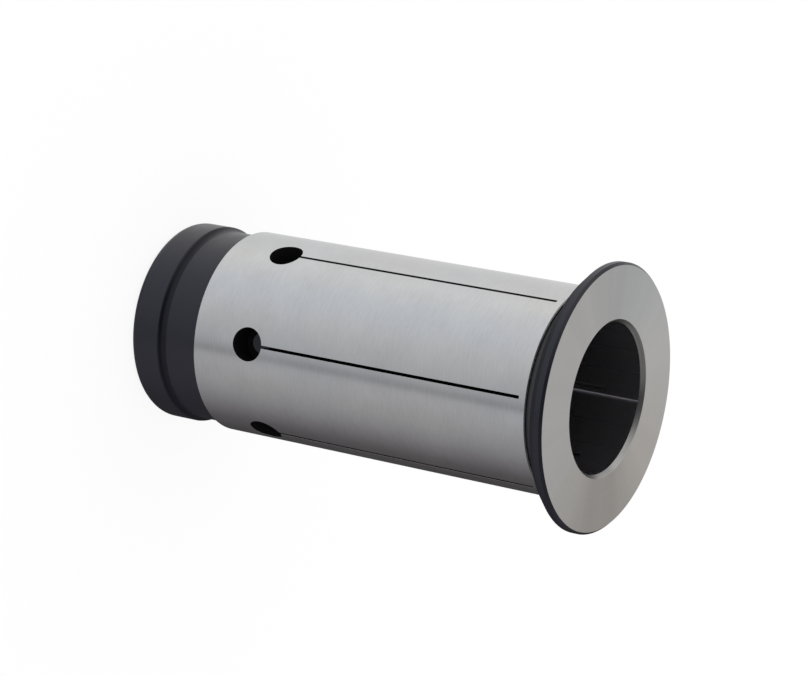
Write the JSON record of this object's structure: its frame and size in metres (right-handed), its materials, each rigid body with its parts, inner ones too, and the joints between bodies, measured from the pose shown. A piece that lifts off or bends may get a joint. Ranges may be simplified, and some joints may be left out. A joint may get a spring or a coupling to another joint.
{
  "type": "hydraulic chuck collet",
  "caption": "Slotted reduction sleeve for a hydraulic expansion chuck: thin flange at the mouth, ground seat, relief holes with narrow slits, blackened neck and collar, plain through bore.",
  "frame": {"origin": "centre of the rear end face, on the axis", "axes": "+Z along the axis from the rear end to the flange; +X through the middle of the land between two slits"},
  "size_m": [0.032, 0.032, 0.06],
  "materials": {
    "steel": "hardened steel: ground seat and face, black oxide on the collar, neck, rim and bore"
  },
  "bodies": {
    "root": {"sleeve": "steel"}
  },
  "joints": []
}
